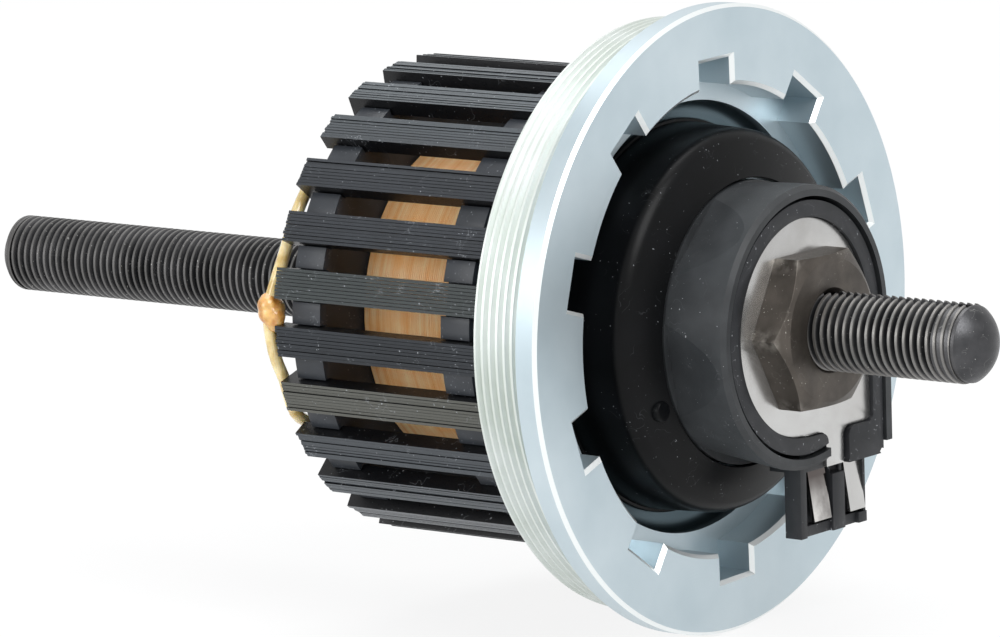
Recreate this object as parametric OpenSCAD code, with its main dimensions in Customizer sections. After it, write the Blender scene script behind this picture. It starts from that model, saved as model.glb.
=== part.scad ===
// Inner assembly of a bicycle hub dynamo, in millimetres.
// The axle lies along Y with the connector end towards -Y and the plug pointing down.
// The origin is on the axle's axis, at the outer face of the lock nut.
// Angles go round the axle from +X towards +Z.

/* [Axle] */
// Radius over the crests of the axle thread
axle_r = 4.5; // [4.3:0.1:4.7]
// Length of the whole axle
axle_l = 142; // [130:1:150]
// Pitch of the axle thread
axle_pitch = 1; // [0.9:0.05:1.2]
// Width of a groove of the axle thread at its mouth
axle_groove_w = 0.46; // [0.3:0.02:0.48]
// Depth of a groove of the axle thread
axle_groove_depth = 0.4; // [0.25:0.05:0.45]
// Depth from a thread crest to where nut and axle meet
thread_engage = 0.3; // [0.25:0.01:0.35]
// Gap between the axle and the bores of what sits on it
bore_fit = 0.05; // [0.02:0.01:0.1]
// Length of free thread outside the lock nut
right_thread_l = 16.4; // [12:0.1:18]
// Length of the smooth tip at the connector end
tip_l = 4.9; // [3.5:0.1:6]
// Radius of the smooth tip
tip_r = 4.3; // [4:0.05:4.4]
// Radius of the rounding on both ends of the axle
tip_round = 5.2; // [5:0.1:7]
// Width of the slot for the lead along the axle
lead_slot_w = 2.4; // [1.6:0.1:2.8]
// Distance from the axis to the floor of that slot
lead_slot_floor = 3; // [2.7:0.05:3.1]

/* [Nuts and washers] */
// Distance across the flats of the lock nut
lock_nut_af = 17; // [15:0.5:18]
// Height of the lock nut
lock_nut_h = 4; // [3:0.1:5]
// Width of the chamfer on a nut's outer face, measured at the corners
nut_chamfer = 1.8; // [0.8:0.1:2.4]
// Slope of that chamfer
nut_chamfer_angle = 30; // [15:5:40]
// Radius of the countersink at a nut's bore
nut_sink_r = 4.8; // [4.6:0.1:5]
// Distance across the flats of the stator nuts
stator_nut_af = 15; // [13:0.5:16]
// Height of the right stator nut
right_nut_h = 3.5; // [3:0.1:4]
// Height of the left stator nut
left_nut_h = 5; // [3:0.1:6]
// Outer radius of the stator washers
washer_r = 10; // [8.5:0.1:11]
// Thickness of a stator washer
washer_t = 1.2; // [1:0.1:1.5]
// Width of the slot in the right washer where the lead goes in
washer_slot_w = 1.6; // [1.3:0.1:2]

/* [Connector] */
// Thickness of the earth terminal's plate
earth_t = 0.8; // [0.5:0.1:1]
// Radius of the round part of that plate
earth_r = 12.3; // [11.5:0.1:12.5]
// Reach of the plate's square corner along +X
earth_corner_x = 12.7; // [12.3:0.1:12.9]
// Reach of the plate's square corner down
earth_corner_z = 12.4; // [12.3:0.1:13]
// Rounding of that corner
earth_corner_round = 0.9; // [0.5:0.1:1.2]
// Left edge of the plate's tab
tab_x = 4.05; // [3.8:0.05:4.6]
// Width of the tab
tab_w = 3.3; // [3:0.1:3.6]
// Fillets between the plate and its tab
tab_fillet = 1.1; // [0.6:0.1:1.5]
// Gap beside the tab on its right
tab_side_gap = 0.6; // [0.2:0.1:0.8]
// Reach of the tab down
tab_z = 16.5; // [16:0.1:17]
// Gap between the plate and the recess it lies in
earth_gap = 0.1; // [0.05:0.01:0.2]
// Height of the housing's rim over the plate
rim_over = 0.4; // [0.2:0.1:0.8]
// Length of the housing between the plate and the insulating washer
housing_l = 6.6; // [6:0.1:8]
// Outer radius of the housing
housing_r = 14.3; // [14.1:0.05:14.6]
// How far the housing's square corner reaches past its round part along +X
corner_over = 0.4; // [0.1:0.1:0.6]
// Reach of the housing's square corner down
housing_corner_z = 16.6; // [16.2:0.1:17]
// Cut across the outer point of that corner
corner_cut = 0.7; // [0.4:0.1:1.2]
// Depth of the square corner along the axle
corner_l = 5; // [4.4:0.1:6]
// Thickness of the insulating washer behind the housing
insulator_t = 0.8; // [0.5:0.1:1]
// Outer radius of the insulating washer
insulator_r = 11.2; // [10.9:0.1:12]

/* [Plug block] */
// Left side of the block that carries the two contacts
block_x = -0.6; // [-1:0.1:0]
// Width of the block
block_w = 12.8; // [12:0.1:13.5]
// Reach of the block down
block_z = 24.1; // [23:0.1:25]
// Depth of the block along the axle
block_l = 2.2; // [2:0.1:3]
// How far the block's front lies behind the plate's front
block_set_back = 0.4; // [0.2:0.1:0.8]
// Width of the block's left post
left_post_w = 1.15; // [0.8:0.05:1.4]
// Width of the slot for the live contact
live_slot_w = 5.05; // [4.6:0.05:5.3]
// Width of the middle post
middle_post_w = 2.35; // [1.8:0.05:2.6]
// Width of the right post, under the slot for the earth contact
right_post_w = 1.6; // [1:0.1:2]
// Height of the crossbars under the slots
crossbar_h = 1.2; // [0.8:0.1:1.6]
// How far the crossbars lie behind the block's front
crossbar_set_back = 0.5; // [0.3:0.1:0.8]
// Thickness of the wall behind the slots
block_back_t = 0.7; // [0.5:0.1:0.9]
// Distance of the live blade from the left post
live_blade_set = 1.3; // [1:0.05:1.5]
// Width of the live contact blade
live_blade_w = 3.3; // [2.5:0.1:3.4]
// Distance of the earth blade from the middle post
earth_blade_set = 0.9; // [0.6:0.05:1.1]
// Width of the earth contact blade
earth_blade_w = 2.95; // [2.4:0.05:3]
// Gap between the two terminals inside the housing
terminal_gap = 0.6; // [0.4:0.05:0.8]
// Thickness of both contact blades
blade_t = 0.4; // [0.3:0.05:0.5]
// Forward lean of the blades
blade_lean = 9; // [5:1:12]
// Distance of the blades' feet behind the block's front
blade_inset = 0.8; // [0.6:0.05:0.9]
// Height of the blades' feet above the housing's lower edge
blade_root = 1.5; // [1:0.1:2]
// Gap under the blades, over the crossbar
blade_end_gap = 0.35; // [0.2:0.05:0.6]

/* [Live terminal strip] */
// Inner radius of the strip round the housing
strip_r = 7; // [6.8:0.1:7.4]
// Width of the strip
strip_w = 3; // [2.5:0.1:3.1]
// Thickness of the strip
strip_t = 0.6; // [0.4:0.1:0.8]
// Thickness of the housing in front of the strip
strip_cover_t = 2.8; // [2.4:0.1:3]
// How far the strip reaches past the live lead, as an angle
strip_start = 10; // [6:1:14]
// Angle where the strip turns down to the plug block
strip_end_angle = -72; // [-76:1:-68]
// Gap round the strip in its channel
strip_gap = 0.1; // [0.05:0.05:0.2]

/* [Connector sleeve] */
// Gap between the housing's rim and the sleeve
seam_gap = 0.45; // [0.3:0.05:0.5]
// Gap between the housing's square corner and the sleeve's straight side
side_gap = 0.2; // [0.1:0.05:0.3]
// Wall of the sleeve
sleeve_wall = 1.25; // [1:0.05:1.3]
// How far the sleeve's lip stands in front of the housing's rim
sleeve_lip = 0.3; // [0.1:0.1:0.5]
// Distance below the axis where the sleeve's straight side starts
sleeve_side_top = 1; // [0.5:0.1:2]
// Reach of the sleeve's straight side down
sleeve_side_z = 15.2; // [14:0.1:16]
// How far the sleeve reaches into the dust cover
sleeve_in_cover = 1; // [0.6:0.1:1.2]
// Number of wrench flats
flat_count = 6; // [4:1:8]
// Depth of a flat at the dust cover
flat_depth = 1; // [0.6:0.05:1]
// Draft of the flats
flat_draft = 8; // [4:0.5:12]
// Angle of the first flat
flat_angle = 12.2; // [8:0.1:16]
// Rounding of the sleeve's front edge
sleeve_edge = 0.5; // [0.2:0.05:0.6]

/* [Bearing] */
// Length of the cone between the insulating washer and the right stator nut
cone_l = 11.9; // [11.5:0.1:13]
// Radius of the circle through the ball centres
ball_pitch_r = 10.4; // [10:0.1:10.6]
// Radius of a ball
ball_r = 2.38; // [2:0.01:2.4]
// Number of balls
ball_count = 10; // [6:1:10]
// Gap between the balls and their races
race_gap = 0.1; // [0.05:0.01:0.12]
// Gap between the balls and the cage pockets
pocket_gap = 0.12; // [0.08:0.01:0.2]
// Distance from the insulating washer to the ball centres
ball_set = 6.4; // [6:0.1:7]
// How far the shoulders of cone and cup stay off the ball circle
race_shoulder = 0.9; // [0.8:0.05:1.2]
// Outer radius of the cup
cup_r = 14.6; // [14.4:0.1:15]
// Length of the cup
cup_l = 8; // [7:0.1:8.4]
// Gap between the cup and its seat in the cover ring
cup_fit = 0.05; // [0.02:0.01:0.1]
// Thickness of the cage
cage_t = 0.9; // [0.6:0.1:1.1]
// Width of the cage
cage_w = 6; // [5.6:0.1:6.4]
// Thickness of the seal ring
seal_t = 1.2; // [0.8:0.1:1.4]
// Running gap between the seal and the cone
seal_gap = 0.3; // [0.2:0.05:0.4]
// How far the seal lies behind the front of the boss round it
seal_inset = 0.2; // [0.1:0.05:0.4]

/* [Cover ring] */
// Distance from the lock nut's outer face to the ring's front face
ring_set = 14.4; // [14:0.1:15]
// Radius of the flange
flange_r = 35.6; // [34.5:0.1:37]
// Thickness of the flange
flange_t = 2.65; // [2.2:0.05:3]
// Chamfer on the flange's front edge
flange_chamfer = 0.4; // [0.2:0.1:0.6]
// Radius over the crests of the thread that screws into the hub shell
ring_thread_r = 33.6; // [33:0.1:34.2]
// Length of that thread
ring_thread_l = 6.3; // [5.5:0.1:7]
// Pitch of that thread
ring_pitch = 1; // [0.8:0.05:1.2]
// Width of a groove of that thread at its mouth
ring_groove_w = 0.56; // [0.4:0.02:0.6]
// Depth of a groove of that thread
ring_groove_depth = 0.5; // [0.3:0.05:0.6]
// Width of the relief between the flange and the thread
relief_w = 1.35; // [1:0.05:1.8]
// Depth of that relief
relief_depth = 0.6; // [0.4:0.05:0.8]
// Radius of the recess in the front face
recess_r = 27.1; // [26.5:0.1:28]
// Depth of the recess, down to the ledge
recess_depth = 4.85; // [4.4:0.05:5.4]
// Radius of the bore inside the ledge
ledge_r = 24.5; // [24:0.1:25]
// Depth of that bore's floor
floor_depth = 7.5; // [7:0.1:8]
// Fillet where the bore meets its floor
floor_fillet = 1.4; // [0.8:0.1:1.8]
// Number of tool notches
notch_count = 10; // [6:1:12]
// Reach of the notches from the axis
notch_r = 29.5; // [28.5:0.1:30]
// Width of a notch
notch_w = 5.9; // [4:0.1:7]
// Angle of the first notch
notch_angle = 19.5; // [0:0.5:36]
// Outer radius of the boss that holds the bearing cup
boss_r = 20.7; // [20:0.1:20.8]
// Chamfer on the boss's front edge
boss_chamfer = 2.2; // [1.5:0.1:2.4]
// Radius of the opening behind the cup
lip_r = 12; // [11.5:0.1:13]

/* [Dust cover] */
// Outer radius of the dust cover at its base
cover_r = 22; // [21.6:0.1:22.4]
// Gap between the dust cover and the boss it is pressed on
cover_fit = 0.08; // [0.05:0.01:0.1]
// Distance from the lock nut's outer face to the dust cover's front at the sleeve
cover_set = 11.4; // [11:0.1:12]
// Wall of the dust cover
cover_wall = 1; // [0.8:0.05:1.2]
// Rounding of the dust cover's shoulder
cover_round = 2; // [1.5:0.1:2.5]
// How far the shoulder lies behind the front at the sleeve
cover_slope = 1.2; // [0.8:0.1:1.6]
// Draft of the dust cover's side
cover_draft = 0.35; // [0.2:0.05:0.6]
// Running gap between the dust cover and the sleeve
cover_gap = 0.25; // [0.15:0.05:0.4]
// Radius of the small knob on the dust cover
knob_r = 1.2; // [0.8:0.1:1.4]
// Height of the knob
knob_h = 0.5; // [0.3:0.1:0.8]
// Distance of the knob from the axis
knob_at = 17.9; // [17.6:0.1:18.2]
// Angle of the knob
knob_angle = -155; // [-170:1:-140]

/* [Stator] */
// Number of poles, left and right together
pole_count = 26; // [20:2:26]
// Radius over the middle of the poles
stator_r = 27.5; // [27:0.1:28]
// Length of the stator
stator_l = 28.8; // [27:0.1:30]
// Number of sheets in a pole pack
sheet_count = 9; // [6:1:10]
// Thickness of one sheet
sheet_t = 0.4; // [0.35:0.01:0.42]
// Depth of the joints that show between the sheets
sheet_joint = 0.12; // [0.05:0.01:0.2]
// Thickness of the outer limb of a pack
outer_limb_t = 2; // [1.6:0.1:2.2]
// Thickness of the limb that goes down to the core
side_limb_t = 1.75; // [1.5:0.05:2]
// Inner radius of the packs, where they bear on the yoke
pack_inner_r = 7.45; // [7.4:0.05:7.7]
// Thickness of the inner limb
inner_limb_t = 2.75; // [2.4:0.05:2.8]
// Gap between the packs and the yoke tube
yoke_gap = 0.05; // [0.03:0.01:0.1]
// Angle of the first left pole, in line with the lead
first_pole_angle = 86.5; // [84:0.5:90]

/* [Bobbin and coil] */
// Radius of the bobbin's bore
bobbin_bore_r = 10.5; // [10.4:0.05:10.8]
// Wall of the bobbin's tube
bobbin_wall = 1.3; // [1:0.1:1.6]
// Thickness of a bobbin flange
bobbin_flange_t = 4.05; // [3.5:0.05:4.5]
// How far the flanges reach up between the poles
flange_rise = 0.9; // [0.5:0.1:1.2]
// Gap between a pole and its groove in the flange
pole_gap = 0.1; // [0.05:0.01:0.15]
// Outer radius of the coil under its outer turns
coil_r = 18.5; // [17.5:0.1:19.5]
// Gap between the coil and the bobbin
coil_gap = 0.1; // [0.05:0.01:0.2]
// Number of outer turns that are drawn
turn_count = 20; // [8:1:20]
// Diameter of the wire in the outer turns
wire_d = 0.4; // [0.3:0.01:0.4]
// Gap between the outer turns and the coil under them
turn_gap = 0.05; // [0.03:0.01:0.1]

/* [Leads] */
// Radius of the live lead
live_lead_r = 0.5; // [0.4:0.05:0.55]
// Height of the live lead over the floor of its slot
live_lead_rest = 0.12; // [0.05:0.01:0.14]
// Radius of the live lead's bends into and out of its slot
live_turn = 0.7; // [0.6:0.05:0.8]
// Distance from the axis where the live lead leaves the coil
live_lead_out = 15; // [14:0.1:16]
// Radius of the earth lead in its sleeving
earth_lead_r = 0.75; // [0.6:0.05:0.8]
// Gap between the earth lead and the poles' ends
earth_lead_rest = 0.1; // [0.05:0.01:0.3]
// Distance from the axis where the earth lead leaves the coil
earth_lead_out = 17; // [16.5:0.1:17.2]
// Gap round the earth lead inside the drop of glue
glue_gap = 0.05; // [0.03:0.01:0.1]
// Gap round a lead in its hole
lead_hole_gap = 0.15; // [0.1:0.05:0.2]
// Radius of the drop of glue on the earth lead
glue_r = 1.6; // [1.3:0.1:1.8]
// Angle of the drop of glue
glue_angle = 177; // [174:1:180]
// Distance of the drop of glue from the axis
glue_at_r = 26.2; // [26:0.1:26.4]

/* [Hidden] */
// Smoothness of round surfaces
$fn = 96;
// Reach of a cutting shape past the surface it cuts
over = 1;
// Height of the frustum that chamfers a nut, more than any nut's height
chamfer_reach = 8;

// Places along the axle, from the lock nut inwards
engaged_r = axle_r - thread_engage;
bore_r = engaged_r + bore_fit;
axle_from = -right_thread_l - tip_l;
axle_to = axle_from + axle_l;
plate_at = lock_nut_h;
housing_at = plate_at + earth_t;
insulator_at = housing_at + housing_l;
cone_at = insulator_at + insulator_t;
right_nut_at = cone_at + cone_l;
right_washer_at = right_nut_at + right_nut_h;
stator_at = right_washer_at + washer_t;
left_washer_at = stator_at + stator_l;
left_nut_at = left_washer_at + washer_t;
left_thread_at = left_nut_at + left_nut_h;
left_end_at = axle_to - tip_round + sqrt(tip_round ^ 2 - axle_r ^ 2);

// Connector
rim_at = plate_at - rim_over;
sleeve_at = rim_at - sleeve_lip;
sleeve_bore = housing_r + seam_gap;
sleeve_r = sleeve_bore + sleeve_wall;
flat_low = sleeve_r - flat_depth;
housing_corner_x = housing_r + corner_over;
corner_to = rim_at + corner_l;
sleeve_to = cover_set + sleeve_in_cover;
sleeve_side_x = housing_corner_x + side_gap;
tab_slot_x = tab_x - earth_gap;
tab_slot_w = earth_gap + tab_w + tab_side_gap;
block_at = plate_at + block_set_back;
live_slot_x = block_x + left_post_w;
earth_slot_x = live_slot_x + live_slot_w + middle_post_w;
block_right_x = block_x + block_w;
slot_floor_z = block_z - crossbar_h;
blade_at = block_at + blade_inset;
blade_root_z = housing_corner_z - blade_root;
blade_l = slot_floor_z - housing_corner_z - blade_end_gap;
live_blade_x = live_slot_x + live_blade_set;
earth_blade_x = earth_slot_x + earth_blade_set;
earth_blade_to = earth_blade_x + earth_blade_w;
live_blade_to = live_blade_x + live_blade_w;
link_x = live_blade_to + terminal_gap;
strip_at = housing_at + strip_cover_t;
strip_mid_r = strip_r + strip_w / 2;
channel_in = strip_r - strip_gap;
channel_out = strip_r + strip_w + strip_gap;

// Bearing
ball_at = cone_at + ball_set;
race_r = ball_r + race_gap;
cone_shoulder_r = ball_pitch_r - race_shoulder;
cone_stem_r = ball_pitch_r - race_r;
cup_shoulder_r = ball_pitch_r + race_shoulder;
cup_inner_r = ball_pitch_r + race_r;
cup_at = ball_at - cup_l / 2;
cup_seat = cup_r + cup_fit;
seal_at = cup_at - seal_t;
boss_at = seal_at - seal_inset;

// Cover ring and dust cover
flange_to = ring_set + flange_t;
ring_thread_at = flange_to + relief_w;
ring_to = ring_thread_at + ring_thread_l;
ledge_at = ring_set + recess_depth;
floor_at = ring_set + floor_depth;
cover_bore = sleeve_r + cover_gap;
shoulder_at = cover_set + cover_slope;
cover_top_r = cover_r - cover_draft;

// Stator
stator_mid = stator_at + stator_l / 2;
pole_step = 360 / pole_count;
pack_w = sheet_count * sheet_t;
claw_inner_r = stator_r - outer_limb_t;
flange_groove_r = claw_inner_r - pole_gap;
flange_outer_r = claw_inner_r + flange_rise;
bobbin_at = stator_at + side_limb_t;
bobbin_l = stator_l - 2 * side_limb_t;
spool_r = bobbin_bore_r + bobbin_wall;
coil_at = bobbin_at + bobbin_flange_t;
coil_l = bobbin_l - 2 * bobbin_flange_t;
yoke_r = pack_inner_r - yoke_gap;

// Leads
lead_angle = first_pole_angle;
live_run_r = lead_slot_floor + live_lead_rest + live_lead_r;
washer_mid = right_washer_at + washer_t / 2;
live_rise_at = insulator_at - 1.2;
earth_lead_at = left_washer_at + earth_lead_r + earth_lead_rest;
earth_hole_angle = first_pole_angle + 3 * pole_step;

// Along the coil's side, over the poles' ends and in to the washer: angle, radius, place along the axle
earth_route = [
    [earth_hole_angle, earth_lead_out, coil_at + coil_l - coil_gap],
    [earth_hole_angle, earth_lead_out, coil_at + coil_l + 2],
    [earth_hole_angle, earth_lead_out, left_washer_at - 1.2],
    [earth_hole_angle + 1, earth_lead_out + 0.7, earth_lead_at - 0.4],
    [earth_hole_angle + 3, earth_lead_out + 2.4, earth_lead_at],
    [134, 22.4, earth_lead_at],
    [141, 24.3, earth_lead_at],
    [151, 24.9, earth_lead_at],
    [161, 25.3, earth_lead_at],
    [170, 26.2, earth_lead_at + 0.2],
    [glue_angle, 26.8, earth_lead_at + 0.5],
    [187, 26.6, earth_lead_at + 0.2],
    [195, 25.8, earth_lead_at],
    [204, 25.6, earth_lead_at],
    [211, 23.6, earth_lead_at],
    [214, 19.5, earth_lead_at],
    [215, 14.5, earth_lead_at],
    [215, washer_r + 0.05, earth_lead_at]
];

// From the coil through the right flange, down the washer's slot, along the axle and up to the strip
live_route = [
    [live_lead_out, coil_at + coil_gap],
    [live_lead_out, coil_at - 2],
    [live_lead_out, stator_at + 1.2],
    [live_lead_out - 0.2, washer_mid + 0.5],
    [live_lead_out - 0.8, washer_mid],
    [11, washer_mid],
    [7.5, washer_mid],
    [live_run_r + live_turn, washer_mid],
    [live_run_r + live_turn * 0.3, washer_mid - live_turn * 0.3],
    [live_run_r, washer_mid - live_turn],
    [live_run_r, washer_mid - 3],
    [live_run_r, ball_at],
    [live_run_r, live_rise_at + 2],
    [live_run_r, live_rise_at + live_turn],
    [live_run_r + live_turn * 0.3, live_rise_at + live_turn * 0.3],
    [live_run_r + live_turn, live_rise_at],
    [6, live_rise_at],
    [strip_mid_r - 0.8, live_rise_at],
    [strip_mid_r - 0.2, live_rise_at - 0.3],
    [strip_mid_r, live_rise_at - 0.9],
    [strip_mid_r, strip_at + strip_t]
];

left_names = [for (i = [1 : pole_count / 2]) str("left_pole_", i < 10 ? "0" : "", i)];
right_names = [for (i = [1 : pole_count / 2]) str("right_pole_", i < 10 ? "0" : "", i)];

// Turn a profile of radius and place along the axle into a solid of revolution
module revolve() {
    rotate([-90, 0, 0]) rotate_extrude() children();
}

// Give an outline of X and Z its thickness along the axle
module slab(from, to) {
    translate([0, to, 0]) rotate([90, 0, 0]) linear_extrude(to - from) children();
}

// A disc or tube round the axle
module tube(outer, inner, from, to) {
    slab(from, to) difference() {
        circle(outer);
        circle(inner);
    }
}

// Turn what lies along +X to an angle round the axle
module at_angle(angle) {
    rotate([0, -angle, 0]) children();
}

// A box from its lowest corner to its highest
module box(low, high) {
    translate(low) cube(high - low);
}

// A hexagon nut on the axle, with its outer face chamfered on one side
module hex_nut(af, from, to, chamfer_left) {
    corner = af / sqrt(3);
    wide = corner - nut_chamfer + chamfer_reach / tan(nut_chamfer_angle);
    difference() {
        intersection() {
            slab(from, to) circle(corner, $fn = 6);
            if (chamfer_left)
                translate([0, to - chamfer_reach, 0]) rotate([-90, 0, 0])
                    cylinder(h = chamfer_reach, r1 = wide, r2 = corner - nut_chamfer);
            else
                translate([0, from, 0]) rotate([-90, 0, 0])
                    cylinder(h = chamfer_reach, r1 = corner - nut_chamfer, r2 = wide);
        }
        revolve() polygon([
            [0, from - over],
            [nut_sink_r + over, from - over],
            [bore_r, from + nut_sink_r - bore_r],
            [bore_r, to - nut_sink_r + bore_r],
            [nut_sink_r + over, to + over],
            [0, to + over]
        ]);
    }
}

// Points of the grooves between two places, down a straight wall of the given radius
function grooves(wall_r, depth, width, pitch, from, to) = [
    for (i = [0 : floor((to - from) / pitch) - 1])
        let (mid = from + (to - from - floor((to - from) / pitch) * pitch) / 2 + (i + 0.5) * pitch)
        each [[wall_r, mid - width / 2], [wall_r - depth, mid], [wall_r, mid + width / 2]]
];

// A point given as angle, radius and place along the axle
function around(p) = [p[1] * cos(p[0]), p[2], p[1] * sin(p[0])];
function unit(v) = v / norm(v);

// A smooth curve through the points, with a number of steps between each two
function through(p, steps) = concat([
    for (i = [0 : len(p) - 2], s = [0 : steps - 1])
        let (
            a = p[max(i - 1, 0)],
            b = p[i],
            c = p[i + 1],
            d = p[min(i + 2, len(p) - 1)],
            t = s / steps
        )
        0.5 * (2 * b + (c - a) * t + (2 * a - 5 * b + 4 * c - d) * t ^ 2 + (3 * b - a - 3 * c + d) * t ^ 3)
], [p[len(p) - 1]]);

// The direction of a path at each of its points
function directions(p) = [
    for (i = [0 : len(p) - 1]) unit(p[min(i + 1, len(p) - 1)] - p[max(i - 1, 0)])
];

// A side direction carried along a path without twist
function carried(sides, ways, i) = i == len(ways) ? sides :
    carried(concat(sides, [unit(sides[i - 1] - (sides[i - 1] * ways[i]) * ways[i])]), ways, i + 1);

// One unbroken tube along a path
module swept(path, r, sides) {
    ways = directions(path);
    helper = abs(ways[0][1]) > 0.9 ? [1, 0, 0] : [0, 1, 0];
    first = unit(helper - (helper * ways[0]) * ways[0]);
    ups = carried([first], ways, 1);
    count = len(path);
    points = [
        for (i = [0 : count - 1], k = [0 : sides - 1])
            let (turn = k * 360 / sides)
            path[i] + r * (cos(turn) * ups[i] + sin(turn) * cross(ways[i], ups[i]))
    ];
    walls = [
        for (i = [0 : count - 2], k = [0 : sides - 1])
            let (
                a = i * sides + k,
                b = i * sides + (k + 1) % sides
            )
            each [[a, a + sides, b], [b, a + sides, b + sides]]
    ];
    ends = [
        for (k = [1 : sides - 2])
            each [[0, k, k + 1], [(count - 1) * sides, (count - 1) * sides + k + 1, (count - 1) * sides + k]]
    ];
    polyhedron(points, concat(walls, ends));
}

// Axle with the lead's slot milled along its connector end
module axle() {
    color([0.23, 0.22, 0.22]) difference() {
        revolve() {
            polygon(concat(
                [[0, -right_thread_l - over / 2], [tip_r, -right_thread_l - over / 2]],
                [[tip_r, -right_thread_l], [axle_r, -right_thread_l]],
                grooves(axle_r, axle_groove_depth, axle_groove_w, axle_pitch, -right_thread_l, 0),
                [[axle_r, 0], [engaged_r, 0], [engaged_r, left_thread_at], [axle_r, left_thread_at]],
                grooves(axle_r, axle_groove_depth, axle_groove_w, axle_pitch, left_thread_at, left_end_at - over),
                [[axle_r, left_end_at - over / 2], [0, left_end_at - over / 2]]
            ));
            intersection() {
                translate([0, axle_from]) square([tip_r, tip_l]);
                translate([0, axle_from + tip_round]) circle(tip_round);
            }
            intersection() {
                translate([0, left_end_at - over]) square([axle_r, axle_to - left_end_at + over]);
                translate([0, axle_to - tip_round]) circle(tip_round);
            }
        }
        at_angle(lead_angle)
            box([lead_slot_floor, axle_from + tip_l / 2, -lead_slot_w / 2],
                [axle_r + over, right_washer_at + washer_t, lead_slot_w / 2]);
    }
}

module lock_nut() {
    color([0.3, 0.28, 0.26]) hex_nut(lock_nut_af, 0, lock_nut_h, false);
}

// What a square corner has over a rounded one, from its point towards the given sides
module corner_piece(x, z, side_x, side_z, r) {
    translate([x, z]) difference() {
        translate([min(side_x, 0) * r, min(side_z, 0) * r]) square(r);
        translate([side_x * r, side_z * r]) circle(r);
    }
}

// Outline of the earth terminal's plate, grown by a gap, from the round part to the tab's end
module plate_outline(gap, tab_to, tab_right) {
    tab_left = tab_x - gap;
    bottom = -earth_corner_z - gap;
    circle(earth_r + gap);
    difference() {
        translate([0, bottom]) square([earth_corner_x + gap, -bottom]);
        corner_piece(earth_corner_x + gap, bottom, -1, 1, earth_corner_round);
    }
    translate([tab_left, -tab_to]) square([tab_right - tab_left, tab_to]);
    corner_piece(tab_left, bottom, -1, -1, tab_fillet);
    corner_piece(tab_right, bottom, 1, -1, tab_fillet);
}

// Outline of the housing's rim, round up to the tab and square beyond it
module housing_outline() {
    circle(housing_r);
    translate([tab_slot_x, -housing_corner_z]) difference() {
        square([housing_corner_x - tab_slot_x, housing_corner_z]);
        translate([housing_corner_x - tab_slot_x, 0]) rotate(45)
            square([corner_cut, 2 * corner_cut], center = true);
    }
}

// A contact blade that leans forward from the block's top
module blade(x, w) {
    translate([x, blade_at, -housing_corner_z]) rotate([-blade_lean, 0, 0])
        translate([0, 0, -blade_l]) cube([w, blade_t, blade_l]);
}

// Plate under the lock nut, with its tab and the earth contact
module earth_terminal() {
    color([0.75, 0.74, 0.7]) {
        slab(plate_at, housing_at) difference() {
            plate_outline(0, tab_z, tab_x + tab_w);
            circle(bore_r);
        }
        box([link_x, housing_at - blade_t, -tab_z], [tab_x + tab_w, blade_at + blade_t, -blade_root_z]);
        box([link_x, blade_at, -tab_z], [earth_blade_to, blade_at + blade_t, -blade_root_z]);
        box([earth_blade_x, blade_at, -housing_corner_z - blade_t],
            [earth_blade_to, blade_at + blade_t, -blade_root_z]);
        blade(earth_blade_x, earth_blade_w);
    }
}

// Strip from the live lead round to the plug block, with the live contact
module live_terminal() {
    color([0.8, 0.79, 0.75]) {
        slab(strip_at, strip_at + strip_t) intersection() {
            difference() {
                circle(strip_r + strip_w);
                circle(strip_r);
            }
            polygon(concat([[0, 0]], [
                for (a = [lead_angle + strip_start, 45, 0, -40, strip_end_angle])
                    3 * strip_r * [cos(a), sin(a)]
            ]));
        }
        box([live_blade_x, strip_at, -blade_root_z - blade_t], [live_blade_to, strip_at + strip_t, -strip_r]);
        box([live_blade_x, blade_at, -blade_root_z - blade_t], [live_blade_to, strip_at + strip_t, -blade_root_z]);
        box([live_blade_x, blade_at, -housing_corner_z - blade_t],
            [live_blade_to, blade_at + blade_t, -blade_root_z]);
        blade(live_blade_x, live_blade_w);
    }
}

// Moulded housing with the recess for the plate, the strip's channel and the plug block
module connector_housing() {
    color([0.22, 0.22, 0.24]) difference() {
        union() {
            tube(housing_r, 0, rim_at, insulator_at);
            slab(rim_at, corner_to) housing_outline();
            box([block_x, block_at, -housing_corner_z], [block_right_x, corner_to, -earth_corner_z]);
            box([block_x, block_at, -block_z], [block_right_x, block_at + block_l, -earth_corner_z]);
        }
        tube(bore_r, 0, rim_at - over, insulator_at + over);
        slab(rim_at - over, housing_at)
            plate_outline(earth_gap, housing_corner_z + over, tab_slot_x + tab_slot_w);
        slab(strip_at, insulator_at + over) difference() {
            circle(channel_out);
            circle(channel_in);
        }
        at_angle(lead_angle)
            box([engaged_r - over, live_rise_at - washer_slot_w / 2, -washer_slot_w / 2],
                [strip_r + strip_w, insulator_at + over, washer_slot_w / 2]);
        contact_room();
        plug_slots();
    }
}

// Room in the housing for the two terminals' legs
module contact_room() {
    left = live_blade_x - strip_gap;
    right = live_blade_to + strip_gap;
    front = blade_at - strip_gap;
    back = blade_at + blade_t + strip_gap;
    top = -blade_root_z + strip_gap;
    below = -housing_corner_z - over;
    box([left, strip_at, -blade_root_z - blade_t - strip_gap], [right, insulator_at + over, -strip_r]);
    box([left, front, -blade_root_z - blade_t - strip_gap], [right, strip_at + strip_t, top]);
    box([left, front, below], [right, back, top]);
    box([link_x - strip_gap, housing_at - blade_t, below], [tab_x + tab_w + strip_gap, back, top]);
    box([link_x - strip_gap, front, below], [earth_blade_to + strip_gap, back, top]);
}

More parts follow.
